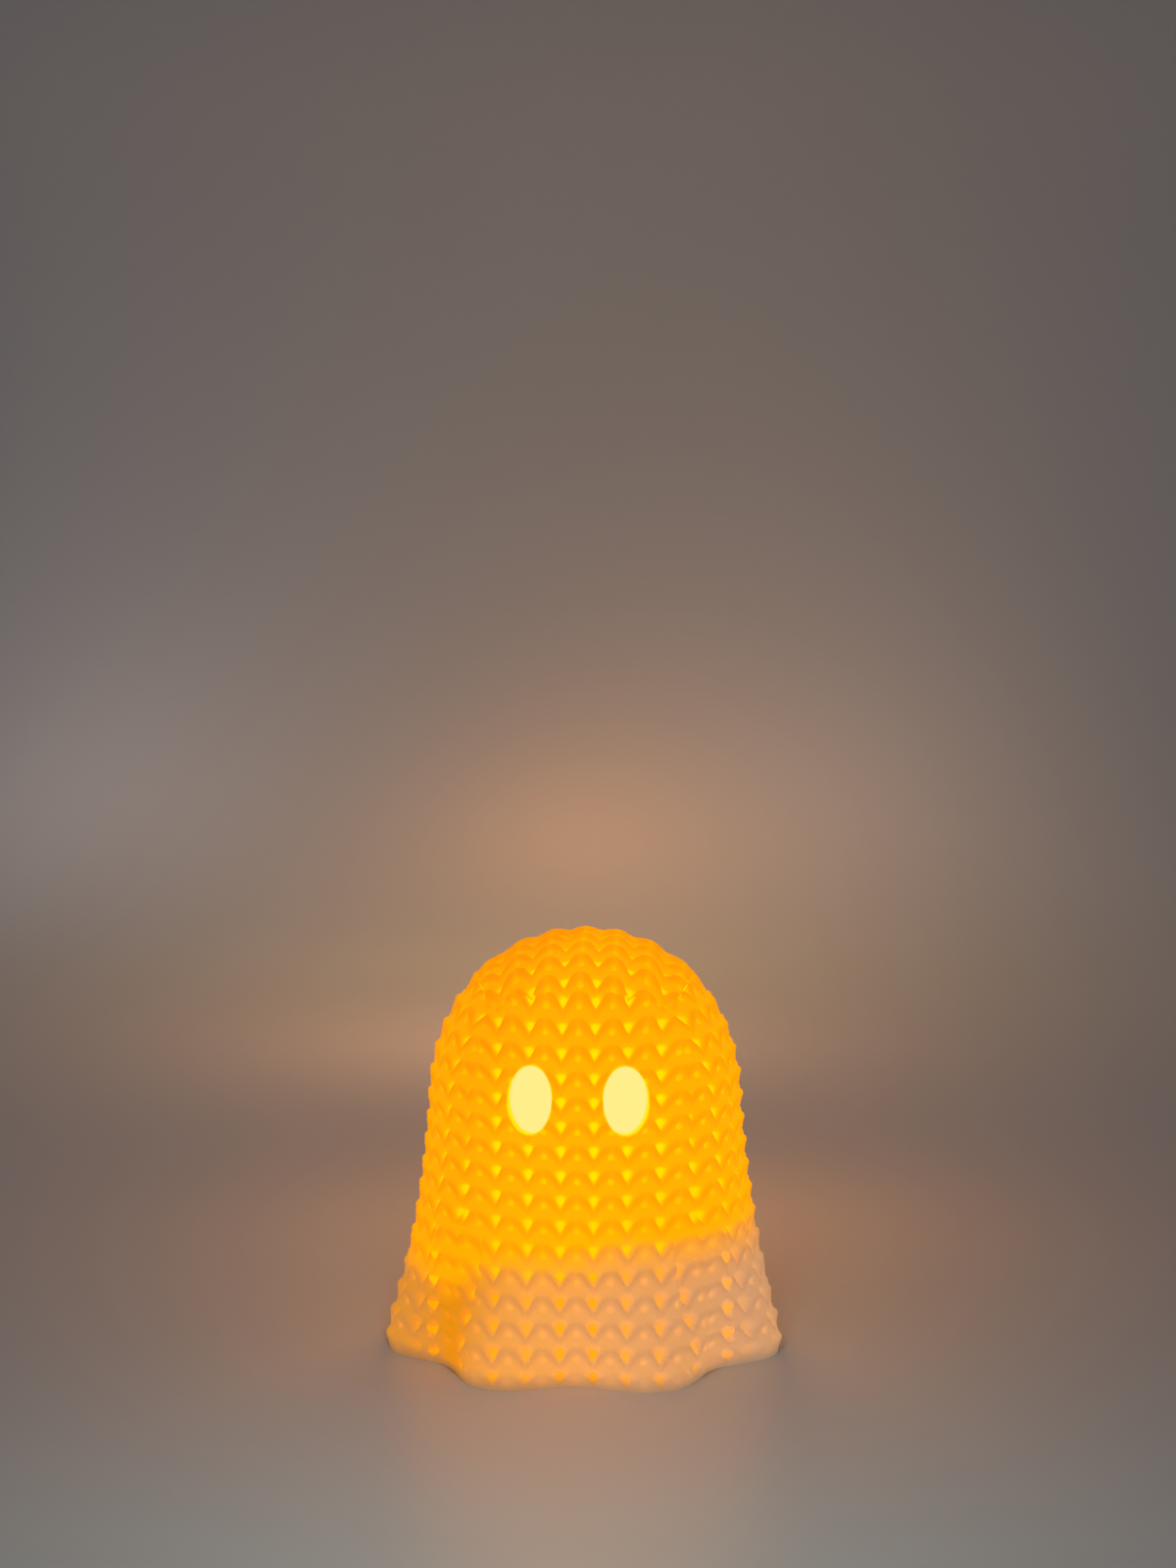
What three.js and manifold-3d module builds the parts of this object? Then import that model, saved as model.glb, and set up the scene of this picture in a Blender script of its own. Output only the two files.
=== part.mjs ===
import * as THREE from 'three';
import { mergeVertices } from 'three/addons/utils/BufferGeometryUtils.js';
import Module from 'manifold-3d';

// Ghost-shaped lantern shell in a chunky knit relief, standing over a battery tealight.
// Millimetres, +Z up. The origin is on the table under the middle, and the face looks along -Y.

const wasm = await Module();
wasm.setup();

// Running gap between pieces that touch or slide.
const fitGap = 0.3;

// Ghost shell: a dome over a slightly tapered body that flares into a skirt with soft folds.
const shellHeight = 75.4;
const shellWall = 2.2;
const shoulderRadius = 28.25;
const shoulderHeight = 44;
const domeFullness = 2.1;
const bodyTaper = 0.1;
const skirtFlare = 1.75;
const skirtFlareHeight = 36;
const hemTuck = 1.3;
const hemTuckHeight = 5;
const foldCount = 7;
const foldDepth = 2.77;
const foldHeight = 22.8;

// Knit relief: rows of zig-zag strands with a deeper pit inside each V. The strand's rise, fall
// and pit drop are shares of a stitch's height.
const stitchWidth = 5.9;
const stitchHeight = 4.24;
const firstPitHeight = 2.92;
const strandRise = 0.28;
const strandFall = 0.75;
const pitDrop = 0.12;
const strandProud = 0.48;
const strandSink = 0.8;
const grooveDepth = 0.44;
const pitDepth = 1.05;
const hemFade = 3;
const crownPitPlace = -0.1;

// Eyes: two upright oval windows cut square to the wall.
const eyeWidth = 8.2;
const eyeHeight = 11.8;
const eyeCentreHeight = 49.6;
const eyeAngle = 17.7;
const eyeBorder = 0.45;

// Tealight cup: straight drip-cup side, rolled rim and dished top.
const cupRadius = 18.7;
const cupHeight = 17.5;
const cupTaper = 0.5;
const cupWall = 1.2;
const dishDepth = 3.5;
const dishRadius = 8.5;
const collarRise = 1.8;

// Flame: a hollow teardrop over the lamp.
const flameRadius = 4.7;
const flameHeight = 21.5;
const flameWall = 1;
const flameFlange = 1.2;

// Lamp and its two legs.
const lampRadius = 2.5;
const lampHeight = 8.6;
const lampFlange = 0.4;
const legThickness = 0.5;
const legSpacing = 2.54;

// Coin cell and its round well.
const cellRadius = 10;
const cellHeight = 3.2;
const cellCapRadius = 8.6;
const cellCapStep = 0.3;
const wellOffset = -4.2;
const wellWall = 1.2;
const wellRoof = 1.2;
const pillarWall = 1.4;

// Base plate, battery door and its captive screw.
const plateThickness = 2.6;
const doorThickness = 0.8;
const doorInset = 0.2;
const doorLedge = 1.2;
const earRadius = 2.4;
const earThickness = 1.5;
const hingeRadius = 0.45;
const hingeWidth = 9;
const hingeReach = 1.6;
const screwRadius = 0.9;
const screwHeadRadius = 1.5;
const screwHeadHeight = 0.4;
const screwLength = 3.5;
const screwBoreGap = 0.5;
const bossWall = 1.4;
const bossHeight = 3;

// Slide switch beside the well.
const switchOffset = 12;
const switchTravel = 2.5;
const sliderWidth = 3.6;
const sliderLength = 5;
const sliderHeight = 1.1;
const nubWidth = 1.6;
const nubLength = 2.4;
const railWidth = 0.8;
const railHeight = 0.9;

// Sheet-metal contacts.
const stripThickness = 0.25;
const stripWidth = 3;

const roundSteps = 48;

// Solids and meshes

function weld(geometry) {
  const bare = geometry.clone();
  bare.deleteAttribute('normal');
  bare.deleteAttribute('uv');
  return mergeVertices(bare, 1e-4);
}

function signedVolume(positions, indices) {
  const corners = [new THREE.Vector3(), new THREE.Vector3(), new THREE.Vector3()];
  let volume = 0;
  for (let i = 0; i < indices.length; i += 3) {
    corners.forEach((corner, k) => corner.fromArray(positions, 3 * indices[i + k]));
    volume += corners[0].dot(corners[1].cross(corners[2])) / 6;
  }
  return volume;
}

// Closed geometry to a solid, with its faces turned outwards.
function solid(geometry) {
  const welded = weld(geometry);
  const positions = Float32Array.from(welded.attributes.position.array);
  const indices = Uint32Array.from(welded.index.array);
  if (signedVolume(positions, indices) < 0) indices.reverse();
  return new wasm.Manifold(new wasm.Mesh({ numProp: 3, vertProperties: positions, triVerts: indices }));
}

function join(...solids) {
  return solids.reduce((whole, piece) => whole.add(piece));
}

function cut(body, ...tools) {
  return tools.reduce((whole, tool) => whole.subtract(tool), body);
}

function toMesh(name, shape, look) {
  const { vertProperties, triVerts, numProp } = shape.getMesh();
  const positions = new Float32Array((vertProperties.length / numProp) * 3);
  for (let i = 0; i < positions.length / 3; i++) {
    for (let k = 0; k < 3; k++) positions[3 * i + k] = vertProperties[numProp * i + k];
  }
  const geometry = new THREE.BufferGeometry();
  geometry.setAttribute('position', new THREE.BufferAttribute(positions, 3));
  geometry.setIndex(new THREE.BufferAttribute(Uint32Array.from(triVerts), 1));
  geometry.computeVertexNormals();
  const mesh = new THREE.Mesh(geometry, new THREE.MeshStandardMaterial(look));
  mesh.name = name;
  return mesh;
}

// Shapes about the vertical axis: a profile of [radius, height] points, turned once.
function turned(profile, x = 0, y = 0, steps = roundSteps) {
  const points = profile.map(([radius, height]) => new THREE.Vector2(radius, height));
  return solid(new THREE.LatheGeometry(points, steps).rotateX(Math.PI / 2).translate(x, y, 0));
}

function disc(radius, low, high, x = 0, y = 0, steps = roundSteps) {
  return turned([[0, low], [radius, low], [radius, high], [0, high]], x, y, steps);
}

function block(x0, x1, y0, y1, z0, z1) {
  const box = new THREE.BoxGeometry(x1 - x0, y1 - y0, z1 - z0);
  return solid(box.translate((x0 + x1) / 2, (y0 + y1) / 2, (z0 + z1) / 2));
}

// A strip bent along a path of [x, z] points, with its width along Y.
function bentStrip(path, thickness, width, y = 0) {
  const bends = path.slice(1).map(([x, z], i) => {
    const [x0, z0] = path[i];
    const half = thickness / 2;
    return block(
      Math.min(x, x0) - half, Math.max(x, x0) + half,
      y - width / 2, y + width / 2,
      Math.min(z, z0) - half, Math.max(z, z0) + half,
    );
  });
  return join(...bends);
}

// Ghost shell surface. An angle of 0 is the front, and 90 degrees is the right side (+X).

const domeHeight = shellHeight - shoulderHeight;

function meanRadius(z) {
  if (z > shoulderHeight) {
    const share = Math.min((z - shoulderHeight) / domeHeight, 1);
    return shoulderRadius * (1 - share ** domeFullness) ** (1 / domeFullness);
  }
  const taper = bodyTaper * (shoulderHeight - z);
  const flareShare = Math.min(Math.max(z / skirtFlareHeight, 0), 1);
  const flare = skirtFlare * (1 + Math.cos(Math.PI * flareShare)) / 2;
  const tuck = hemTuck * Math.max(1 - z / hemTuckHeight, 0) ** 2;
  return shoulderRadius + taper + flare - tuck;
}

function shellRadius(z, angle) {
  const share = Math.min(Math.max(1 - z / foldHeight, 0), 1);
  return meanRadius(z) - foldDepth * share ** 1.3 * Math.cos(foldCount * angle);
}

// How far the wall leans back from upright, from the slope of the profile.
function lean(z) {
  if (z > shoulderHeight) {
    const across = (meanRadius(z) / shoulderRadius) ** (domeFullness - 1) / shoulderRadius;
    const up = ((z - shoulderHeight) / domeHeight) ** (domeFullness - 1) / domeHeight;
    return Math.atan2(up, across);
  }
  const step = 0.05;
  return Math.atan2(meanRadius(z - step) - meanRadius(z + step), 2 * step);
}

function shellPoint(z, angle, proud) {
  const radius = shellRadius(z, angle) + proud * Math.cos(lean(z));
  const height = z + proud * Math.sin(lean(z));
  return new THREE.Vector3(radius * Math.sin(angle), -radius * Math.cos(angle), height);
}

// Knit relief. Columns are counted in half stitches: even ones carry the strand's peaks,
// odd ones its low points and the pits above them.

const halfStitch = stitchWidth / 2;

function veeShare(column) {
  return 1 - Math.abs((Math.abs(column) % 2) - 1);
}

// Height of the strand, or of the groove half a stitch above it, from the row's first pit.
function lineOffset(column, isStrand) {
  const strand = strandRise - strandFall * veeShare(column);
  return stitchHeight * (isStrand ? strand : strand + 0.5 - pitDrop * veeShare(column));
}

function lineHeight(rowHeight, column, isStrand) {
  return THREE.MathUtils.clamp(rowHeight + lineOffset(column, isStrand), 0, sideTop);
}

function relief(column, isStrand) {
  const share = veeShare(column);
  if (isStrand) return strandProud - strandSink * share;
  return -(grooveDepth + (pitDepth - grooveDepth) * share);
}

// Height of the seam where the side pattern meets the crown's: the dome leans 45 degrees there.
function findSeamHeight() {
  let low = shoulderHeight;
  let high = shellHeight;
  while (high - low > 1e-6) {
    const middle = (low + high) / 2;
    if (lean(middle) < Math.PI / 4) low = middle;
    else high = middle;
  }
  return low;
}

const seamHeight = findSeamHeight();
const seamRadius = meanRadius(seamHeight);

// The side pattern runs on a little past the seam, where it is cut off level.
const sideTop = seamHeight + stitchHeight / 2;

const eyeTurn = THREE.MathUtils.degToRad(eyeAngle);

// The relief runs out at the hem and in a smooth border round each eye.
function reliefFade(z, angle) {
  const across = shellRadius(z, angle) * Math.sin(Math.abs(angle) - eyeTurn) / (eyeWidth / 2);
  const up = (z - eyeCentreHeight) / (eyeHeight / 2);
  const inFront = Math.abs(angle) < Math.PI / 2;
  const fromEye = inFront ? Math.hypot(across, up) - 1 : 1;
  const eyeFade = THREE.MathUtils.smoothstep(fromEye, 0, eyeBorder);
  return eyeFade * THREE.MathUtils.smoothstep(z, 0, hemFade);
}

// The pattern lies flat on each of four faces, so its columns stay upright and evenly spaced,
// and neighbouring faces meet at the 45-degree corners.
const faceCount = 4;
const faceTurn = (2 * Math.PI) / faceCount;

function knitPoint(column, angle, rowHeight, isStrand) {
  const z = lineHeight(rowHeight, column, isStrand);
  const proud = relief(column, isStrand) * reliefFade(z, angle);
  const isPit = !isStrand && Number.isInteger(column) && column % 2 !== 0;
  return { angle, column, isPit, point: shellPoint(z, angle, proud) };
}

// The angle within a face at which the wall stands at the column's sideways place.
function columnAngle(column, z, turn) {
  const place = column * halfStitch;
  let angle = 0;
  for (let i = 0; i < 8; i++) {
    angle = Math.asin(THREE.MathUtils.clamp(place / shellRadius(z, turn + angle), -1, 1));
  }
  return angle;
}

function cornerColumn(rowHeight, angle, isStrand) {
  let column = 0;
  for (let i = 0; i < 8; i++) {
    const z = lineHeight(rowHeight, column, isStrand);
    column = shellRadius(z, angle) * Math.SQRT1_2 / halfStitch;
  }
  return column;
}

// One ring of the outer skin as four runs of points, each from corner to corner.
function knitRing(rowHeight, isStrand) {
  const corners = [];
  for (let i = 0; i < faceCount; i++) {
    const angle = (i + 0.5) * faceTurn;
    corners.push(knitPoint(cornerColumn(rowHeight, angle, isStrand), angle, rowHeight, isStrand));
  }
  return corners.map((corner, face) => {
    const before = corners[(face + faceCount - 1) % faceCount];
    const turn = face * faceTurn;
    const run = [{ ...before, angle: turn - faceTurn / 2 }];
    const last = Math.floor(Math.min(before.column, corner.column) - 0.3);
    for (let column = -last; column <= last; column++) {
      const z = lineHeight(rowHeight, column, isStrand);
      const angle = turn + columnAngle(column, z, turn);
      run.push(knitPoint(column, angle, rowHeight, isStrand));
    }
    run.push({ ...corner, angle: turn + faceTurn / 2 });
    return run;
  });
}

function flatRing(z) {
  return knitRing(0, true).map((run) => run.map(({ angle }) => ({ angle, point: shellPoint(z, angle, 0) })));
}

// Triangles between two runs of points, stepping along whichever is behind. Between two
// whole columns the edge across runs into the pit, so that each pit is a funnel.
function zip(lower, upper, triangles) {
  let i = 0;
  let j = 0;
  while (i < lower.length - 1 || j < upper.length - 1) {
    const lowerNext = lower[i + 1] ?? { angle: Infinity };
    const upperNext = upper[j + 1] ?? { angle: Infinity };
    const sameColumns = lower[i].column === upper[j].column && lowerNext.column === upperNext.column;
    const abreast = sameColumns && Number.isInteger(lowerNext.column);
    const intoNext = upperNext.isPit || lower[i].isPit;
    const lowerFirst = abreast ? !intoNext : lowerNext.angle <= upperNext.angle;
    if (lowerFirst) {
      triangles.push(lower[i].point, lower[i + 1].point, upper[j].point);
      i++;
    } else {
      triangles.push(lower[i].point, upper[j + 1].point, upper[j].point);
      j++;
    }
  }
}

// Closed skin through a stack of rings, with a fan at the bottom and at the top.
function skin(rings, bottom, top) {
  const triangles = [];
  rings.slice(1).forEach((ring, i) => ring.forEach((run, face) => zip(rings[i][face], run, triangles)));
  const fan = (ring, tip, flip) => ring.forEach((run) => run.slice(1).forEach(({ point }, i) => {
    const edge = flip ? [point, run[i].point] : [run[i].point, point];
    triangles.push(...edge, tip);
  }));
  fan(rings[0], bottom, true);
  fan(rings[rings.length - 1], top, false);
  return solid(new THREE.BufferGeometry().setFromPoints(triangles));
}

// Sides: strand and groove rings, closed above the seam by a plain cone and then cut off at it.
function knitSides() {
  const rings = [flatRing(0)];
  for (let row = 0; ; row++) {
    const pit = firstPitHeight + row * stitchHeight;
    if (pit + lineOffset(1, true) > seamHeight + strandProud) break;
    rings.push(knitRing(pit, true), knitRing(pit, false));
  }
  const apex = new THREE.Vector3(0, 0, seamHeight + seamRadius + stitchHeight);
  return skin(rings, new THREE.Vector3(0, 0, 0), apex).trimByPlane([0, 0, -1], -seamHeight);
}

function crownHeight(x, y) {
  const radius = Math.hypot(x, y);
  if (radius > seamRadius) return seamHeight + seamRadius - radius;
  return shoulderHeight + domeHeight * (1 - (radius / shoulderRadius) ** domeFullness) ** (1 / domeFullness);
}

// Crown: the same pattern laid flat over the top, its Vs pointing to the front, as a block
// whose upper face is the dome and whose foot is the seam.
function knitCrown() {
  const reach = seamRadius + stitchWidth;
  const outside = 2 * shoulderRadius;
  const columns = [];
  for (let column = -Math.ceil(reach / halfStitch); column * halfStitch <= reach; column++) {
    columns.push({ column, x: column * halfStitch });
  }
  const sideColumns = [-outside, outside].map((x) => ({ column: 0, x, plain: true }));
  const allColumns = [sideColumns[0], ...columns, sideColumns[1]];
  const lines = [{ plain: true, y: -outside }];
  for (let row = Math.floor((-reach - crownPitPlace) / stitchHeight); ; row++) {
    const pit = crownPitPlace + row * stitchHeight;
    if (pit > reach) break;
    lines.push({ y: pit, isStrand: true }, { y: pit, isStrand: false });
  }
  lines.push({ plain: true, y: outside });
  const surface = lines.map(({ plain, y, isStrand }) => allColumns.map((place) => {
    const depth = plain ? y : y + lineOffset(place.column, isStrand);
    const proud = plain || place.plain ? 0 : relief(place.column, isStrand);
    return new THREE.Vector3(place.x, depth, crownHeight(place.x, depth) + proud);
  }));
  const floor = surface.map((line) => line.map(({ x, y }) => new THREE.Vector3(x, y, -shellHeight)));
  return gridBlock(surface, floor).trimByPlane([0, 0, 1], seamHeight);
}

// Closed block between an upper and a lower grid of points of the same layout.
function gridBlock(upper, lower) {
  const triangles = [];
  const quad = (a, b, c, d) => triangles.push(a, b, c, a, c, d);
  const last = upper.length - 1;
  const end = upper[0].length - 1;
  for (let i = 0; i < last; i++) {
    for (let j = 0; j < end; j++) {
      quad(upper[i][j], upper[i][j + 1], upper[i + 1][j + 1], upper[i + 1][j]);
      quad(lower[i][j], lower[i + 1][j], lower[i + 1][j + 1], lower[i][j + 1]);
    }
    quad(upper[i][0], upper[i + 1][0], lower[i + 1][0], lower[i][0]);
    quad(upper[i][end], lower[i][end], lower[i + 1][end], upper[i + 1][end]);
  }
  for (let j = 0; j < end; j++) {
    quad(upper[0][j], lower[0][j], lower[0][j + 1], upper[0][j + 1]);
    quad(upper[last][j], upper[last][j + 1], lower[last][j + 1], lower[last][j]);
  }
  return solid(new THREE.BufferGeometry().setFromPoints(triangles));
}

// Smooth inside of the shell, one wall behind the surface, open at the hem.
function cavity() {
  const stepsAround = 8 * foldCount;
  const heights = [];
  const bodySteps = 8;
  const domeSteps = 7;
  for (let i = 0; i < bodySteps; i++) heights.push((shoulderHeight * i) / bodySteps);
  for (let i = 0; i < domeSteps; i++) {
    const rise = Math.sin((Math.PI / 2) * (i / domeSteps)) ** (2 / domeFullness);
    heights.push(shoulderHeight + domeHeight * rise);
  }
  const ring = (z, drop = 0) => {
    const run = [];
    for (let i = 0; i <= stepsAround; i++) {
      const angle = (2 * Math.PI * (i % stepsAround)) / stepsAround;
      const point = shellPoint(z, angle, -shellWall);
      run.push({ angle: (2 * Math.PI * i) / stepsAround, point: point.setZ(point.z - drop) });
    }
    return [run];
  };
  const rings = [ring(0, 2 * shellWall), ...heights.map((z) => ring(z))];
  const bottom = new THREE.Vector3(0, 0, -shellWall);
  return skin(rings, bottom, new THREE.Vector3(0, 0, shellHeight - shellWall));
}

function eyeCutter(side) {
  const outline = new THREE.Shape().absellipse(0, 0, eyeWidth / 2, eyeHeight / 2, 0, 2 * Math.PI);
  const depth = 4 * shellWall;
  const eye = new THREE.ExtrudeGeometry(outline, { depth, bevelEnabled: false, curveSegments: 16 });
  eye.translate(0, 0, -depth / 2).rotateX(Math.PI / 2);
  eye.translate(0, -meanRadius(eyeCentreHeight), eyeCentreHeight);
  return solid(eye.rotateZ(side * eyeTurn));
}

const ghostShell = cut(
  knitSides().add(knitCrown()),
  cavity(), eyeCutter(-1), eyeCutter(1),
);

// Battery tealight

// Heights, from the table up.
const doorLow = doorInset;
const doorHigh = doorLow + doorThickness;
const pocketHigh = doorHigh + fitGap;
const cellLow = doorHigh + 0.5;
const cellHigh = cellLow + cellHeight;
const stripLow = cellHigh + fitGap;
const roofLow = stripLow + stripThickness + fitGap;
const roofHigh = roofLow + wellRoof;
const dishHeight = cupHeight - dishDepth;
const collarHigh = dishHeight + collarRise;
const flangeHigh = collarHigh - cupWall - fitGap;
const flangeLow = flangeHigh - flameFlange;
const lampLow = flangeLow - 1;
const pillarHigh = lampLow - fitGap;

// Radii.
const cupHole = flameRadius + fitGap;
const plateRadius = cupRadius - cupWall - fitGap;
const wellRadius = cellRadius + 1.3 * fitGap;
const wellOuter = wellRadius + wellWall;
const doorRadius = wellRadius + doorLedge;
const pocketRadius = doorRadius + fitGap;
const pillarOuter = legSpacing / 2 + legThickness + fitGap + pillarWall;
const pillarBore = pillarOuter - pillarWall;

function makeCup() {
  const top = cupRadius - cupTaper;
  const rim = 0.4;
  const outside = [
    [cupRadius - cupWall, 0], [cupRadius, 0],
    [top, cupHeight - 2 * rim], [top - rim, cupHeight - 0.3 * rim], [top - 2 * rim, cupHeight],
    [top - 4 * rim, cupHeight - rim],
  ];
  const slope = top - 4 * rim - dishRadius;
  const bowl = [0.3, 0.6, 1].map((share) => [
    top - 4 * rim - slope * share,
    dishHeight + (dishDepth - rim) * (1 - share) ** 1.8,
  ]);
  const collar = [
    [cupHole + 2.4, dishHeight + 0.2 * collarRise], [cupHole + 1.2, dishHeight + 0.7 * collarRise],
    [cupHole + 0.4, collarHigh], [cupHole, collarHigh - 0.2],
    [cupHole, collarHigh - cupWall],
  ];
  const under = [
    [cupHole + 1.6, dishHeight - 0.4 * cupWall], [dishRadius, dishHeight - cupWall],
    [top - 4 * rim - 0.6 * slope, dishHeight - cupWall + dishDepth * 0.16],
    [cupRadius - cupTaper - cupWall - rim, cupHeight - 2 * cupWall - rim],
    [cupRadius - cupTaper - cupWall, cupHeight - 3 * cupWall],
  ];
  const profile = [...outside, ...bowl, ...collar, ...under];
  return turned([...profile, profile[0]]);
}

function makeFlame() {
  const tip = flangeHigh + flameHeight;
  const steps = 9;
  const teardrop = (radius, low, high) => {
    const points = [];
    for (let i = 0; i <= steps; i++) {
      const share = i / steps;
      const belly = Math.cos((Math.PI / 2) * share ** 1.4);
      points.push([radius * belly * (1 - 0.25 * share), low + (high - low) * share]);
    }
    points[steps][0] = 0;
    return points;
  };
  const bellyLow = collarHigh + 0.5;
  const outer = teardrop(flameRadius, bellyLow, tip);
  const inner = teardrop(flameRadius - flameWall, bellyLow, tip - 2.5 * flameWall);
  const profile = [
    ...inner.reverse(), [flameRadius - flameWall, flangeLow],
    [flameRadius + 2 * fitGap, flangeLow], [flameRadius + 2 * fitGap, flangeHigh],
    [flameRadius, flangeHigh], ...outer,
  ];
  return turned(profile, 0, 0, 24);
}

function makeLamp() {
  const round = [];
  for (let i = 0; i <= 5; i++) {
    const turn = (Math.PI / 2) * (i / 5);
    round.push([lampRadius * Math.cos(turn), lampLow + lampHeight - lampRadius * (1 - Math.sin(turn))]);
  }
  round[5][0] = 0;
  const skirt = [[0, lampLow], [lampRadius + lampFlange, lampLow], [lampRadius + lampFlange, lampLow + 1]];
  return turned([...skirt, [lampRadius, lampLow + 1], ...round], 0, 0, 24);
}

const cellRim = wellOffset + cellRadius;
const leafX = cellRim + fitGap + stripThickness / 2;
const positiveEnd = switchOffset - sliderWidth / 2 - 0.3;
const lampEnd = switchOffset + sliderWidth / 2 - 0.3;
const nubLow = doorInset + 0.1;
const sliderLow = plateThickness + fitGap;
const sliderHigh = sliderLow + sliderHeight;
const wiperLow = sliderHigh + fitGap;
const tailLow = wiperLow + stripThickness + fitGap;
const bridgeHeight = roofHigh + fitGap + stripThickness / 2;

function makeCell() {
  return turned([
    [0, cellLow], [cellRadius - 0.3, cellLow], [cellRadius, cellLow + 0.3],
    [cellRadius, cellHigh - cellCapStep], [cellCapRadius, cellHigh - cellCapStep],
    [cellCapRadius, cellHigh], [0, cellHigh],
  ], wellOffset, 0);
}

function makeNegativeContact() {
  const low = stripLow + stripThickness / 2;
  const path = [[wellOffset - cellCapRadius * 0.6, low], [legSpacing / 4, low]];
  return bentStrip(path, stripThickness, stripWidth);
}

function makePositiveContact() {
  return bentStrip([
    [leafX, cellLow + 0.6], [leafX, bridgeHeight], [positiveEnd, bridgeHeight], [positiveEnd, tailLow],
  ], stripThickness, stripWidth);
}

function makeNegativeLeg() {
  const x = -legSpacing / 2;
  const foot = stripLow + stripThickness + fitGap + legThickness / 2;
  return bentStrip([[x, lampLow - fitGap - legThickness / 2], [x, foot]], legThickness, legThickness);
}

function makePositiveLeg() {
  const x = legSpacing / 2;
  const over = bridgeHeight + stripThickness / 2 + fitGap + legThickness / 2;
  return bentStrip([
    [x, lampLow - fitGap - legThickness / 2], [x, over], [lampEnd, over], [lampEnd, tailLow],
  ], legThickness, legThickness);
}

function makeSwitchContact() {
  const middle = wiperLow + stripThickness / 2;
  return bentStrip([[positiveEnd - 0.3, middle], [lampEnd + 0.3, middle]], stripThickness, nubLength);
}

function makeSlider() {
  const carriage = block(
    switchOffset - sliderWidth / 2, switchOffset + sliderWidth / 2,
    -sliderLength / 2, sliderLength / 2, sliderLow, sliderHigh,
  );
  const nub = block(
    switchOffset - nubWidth / 2, switchOffset + nubWidth / 2,
    -nubLength / 2, nubLength / 2, nubLow, sliderHigh,
  );
  const grip = [-0.25, 0, 0.25].map((share) => block(
    switchOffset - nubWidth, switchOffset + nubWidth,
    share * nubLength - 0.15, share * nubLength + 0.15, 0, nubLow + 0.4,
  ));
  return cut(join(carriage, nub), ...grip);
}

// The ear carries the screw, just outside the cell's well.
const earPlace = wellRadius + earRadius;
const hingePlace = -doorRadius - hingeReach;
const hingeHeight = doorLow + hingeRadius;

function hingeBar(radius, width) {
  const bar = new THREE.CylinderGeometry(radius, radius, width, 12);
  return solid(bar.rotateZ(Math.PI / 2).translate(wellOffset, hingePlace, hingeHeight));
}

function makeDoor() {
  const tab = block(
    wellOffset - hingeWidth / 2, wellOffset + hingeWidth / 2,
    hingePlace, -doorRadius + hingeReach, doorLow, doorHigh - 0.1,
  );
  const ear = disc(earRadius, doorLow, doorLow + earThickness, wellOffset, earPlace, 24);
  const counterbore = disc(screwHeadRadius + fitGap, 0, doorHigh, wellOffset, earPlace, 24);
  const hole = disc(screwRadius + fitGap, 0, 2 * plateThickness, wellOffset, earPlace, 24);
  const plate = disc(doorRadius, doorLow, doorHigh, wellOffset, 0);
  const door = join(plate, tab, hingeBar(hingeRadius, hingeWidth), ear);
  const grip = [-1, 0, 1].map((step) => block(
    wellOffset - 3, wellOffset + 3, 3 + step - 0.2, 3 + step + 0.2, 0, doorLow + 0.3,
  ));
  return cut(door, counterbore, hole, ...grip);
}

function makeScrew() {
  const high = doorHigh - fitGap;
  const low = high - screwHeadHeight;
  const tip = low + screwLength;
  const chamfer = 0.2;
  const head = [
    [0, low], [screwHeadRadius - chamfer, low], [screwHeadRadius, low + chamfer], [screwHeadRadius, high],
  ];
  const shank = [[screwRadius, high], [screwRadius, tip], [screwRadius - 0.3, tip + 0.3], [0, tip + 0.3]];
  const screw = turned([...head, ...shank], wellOffset, earPlace, 24);
  const slotDepth = screwHeadHeight / 2;
  const driveSlot = (length, width) => block(
    wellOffset - length, wellOffset + length, earPlace - width, earPlace + width, 0, low + slotDepth,
  );
  return cut(screw, driveSlot(1, 0.2), driveSlot(0.2, 1));
}

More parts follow.
